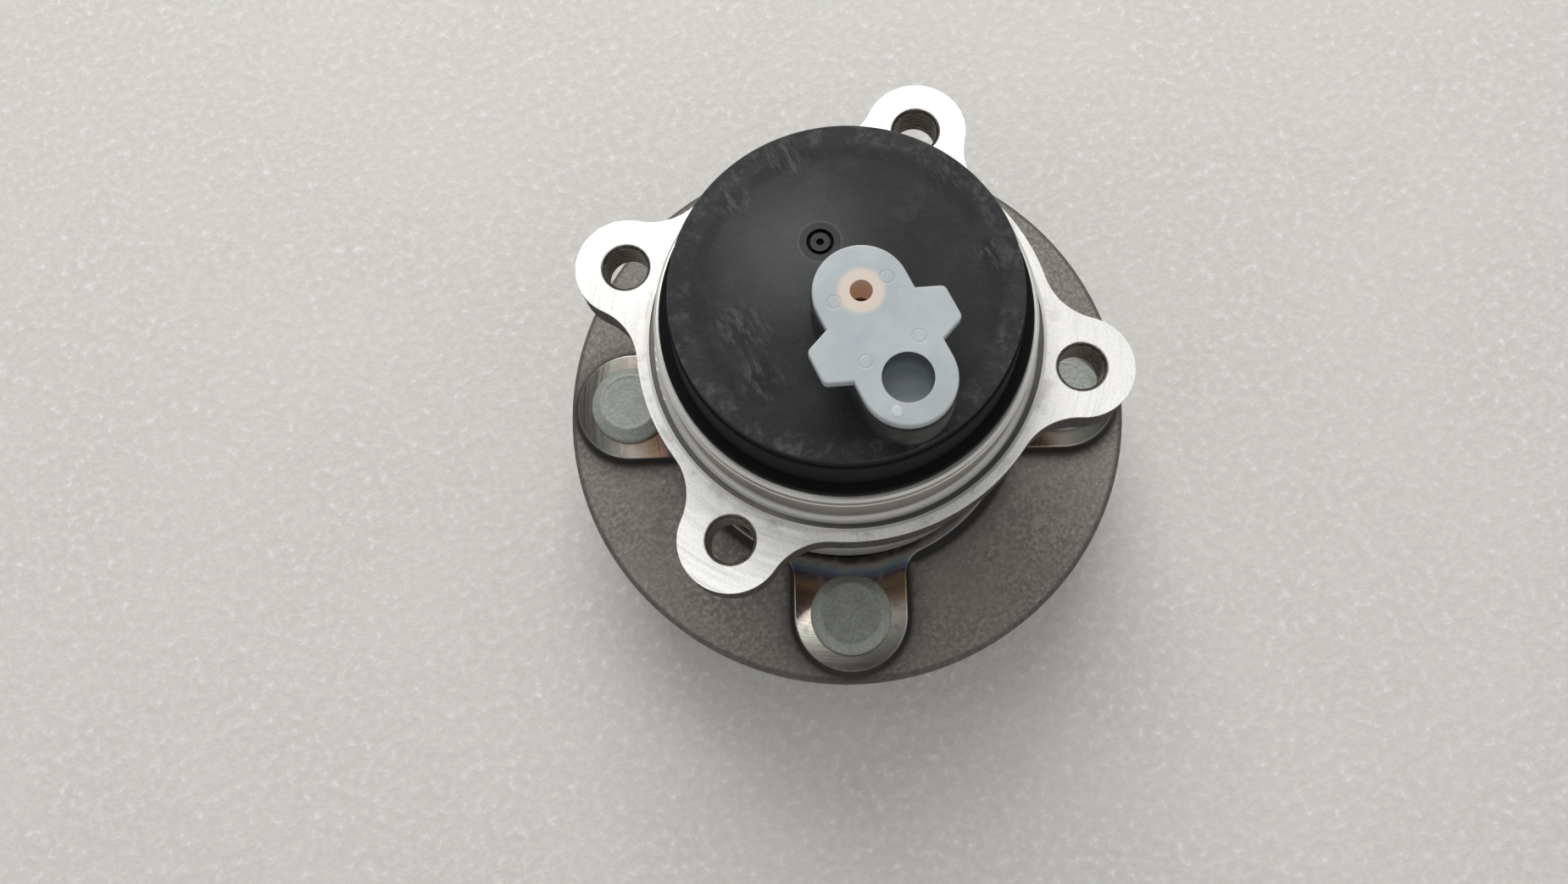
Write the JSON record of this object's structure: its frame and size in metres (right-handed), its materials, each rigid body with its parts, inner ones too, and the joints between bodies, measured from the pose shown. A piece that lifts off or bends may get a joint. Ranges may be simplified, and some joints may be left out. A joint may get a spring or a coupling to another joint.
{
  "type": "wheel hub bearing",
  "caption": "Flanged rear wheel hub unit: a studded hub turns on two ball rows in an outer ring with a lugged knuckle flange and a sensor cap.",
  "frame": {"origin": "on the hub axis, in the flat face that the wheel or drum seats on", "axes": "+Z along the hub axis, from the wheel face inboard towards the sensor cap; the sensor bore lies towards -Y, and the outer ring is symmetric about the YZ plane"},
  "size_m": [0.1296, 0.1296, 0.1233],
  "materials": {
    "forged_steel": "shot-blasted forging, dark grey-brown, with machined and induction-hardened faces",
    "machined_steel": "turned bright faces on a dark forged body",
    "bearing_steel": "ground and polished",
    "pressed_steel": "plain pressed stainless sheet",
    "zinc_plated_steel": "dull grey-green zinc plating",
    "black_plastic": "glass-filled black nylon, lightly scuffed",
    "cage_plastic": "natural nylon",
    "black_rubber": "nitrile rubber",
    "brass": "turned and knurled",
    "plug_plastic": "translucent pale blue-grey polyethylene"
  },
  "bodies": {
    "carrier": {"outer_ring": "machined_steel", "seal_case": "pressed_steel", "seal_lips": "black_rubber", "cap_sleeve": "pressed_steel", "cap_o_ring": "black_rubber", "sensor_insert": "brass", "sensor_cap": "black_plastic"},
    "hub": {"hub_flange": "forged_steel", "wheel_stud_1": "zinc_plated_steel", "wheel_stud_2": "zinc_plated_steel", "wheel_stud_3": "zinc_plated_steel", "wheel_stud_4": "zinc_plated_steel", "inner_ring": "bearing_steel", "seal_slinger": "pressed_steel", "encoder_carrier": "pressed_steel", "encoder_magnet": "black_rubber"},
    "outboard_row": {"outboard_balls": "bearing_steel", "outboard_cage": "cage_plastic"},
    "inboard_row": {"inboard_balls": "bearing_steel", "inboard_cage": "cage_plastic"},
    "plug": {"transit_plug": "plug_plastic"}
  },
  "joints": [
    {"name": "hub_spin", "type": "hinge", "parent": "carrier", "child": "hub", "pos_m": [0, 0, 0.038], "axis": [0, 0, 1], "continuous": true},
    {"name": "outboard_row_turn", "type": "hinge", "parent": "carrier", "child": "outboard_row", "pos_m": [0, 0, 0.026], "axis": [0, 0, 1], "continuous": true},
    {"name": "inboard_row_turn", "type": "hinge", "parent": "carrier", "child": "inboard_row", "pos_m": [0, 0, 0.05], "axis": [0, 0, 1], "continuous": true},
    {"name": "plug_pull", "type": "slide", "parent": "carrier", "child": "plug", "axis": [0, 0, 1], "range_m": [0, 0.045]}
  ],
  "couplings": [
    {"joint": "outboard_row_turn", "follows": "hub_spin", "ratio": 0.4071},
    {"joint": "inboard_row_turn", "follows": "hub_spin", "ratio": 0.4071}
  ]
}
